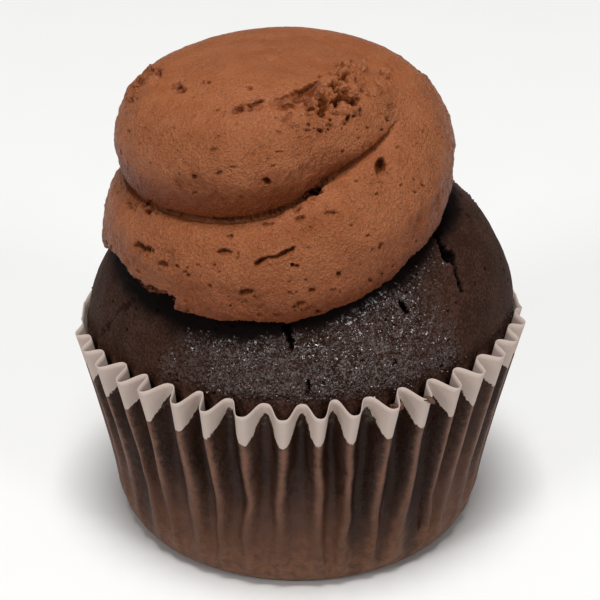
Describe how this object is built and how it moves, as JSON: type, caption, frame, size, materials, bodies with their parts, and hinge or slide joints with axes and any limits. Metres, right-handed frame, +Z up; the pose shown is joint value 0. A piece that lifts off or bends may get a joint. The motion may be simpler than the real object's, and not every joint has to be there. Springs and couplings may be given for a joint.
{
  "type": "cupcake",
  "caption": "Chocolate cupcake with a domed top and a wide piped swirl of chocolate frosting, standing in its fluted paper baking case.",
  "frame": {"origin": "on the paper case's flat base, where the cupcake stands, under the middle of its rim", "axes": "+Z up, +X to the right and -Y to the front, where the swirl's last turn ends towards +X"},
  "size_m": [0.0719, 0.0738, 0.0792],
  "materials": {
    "paper": "satin",
    "sponge": "satin",
    "buttercream": "satin"
  },
  "bodies": {
    "root": {"paper_case": "paper", "cake": "sponge", "frosting": "buttercream"}
  },
  "joints": []
}
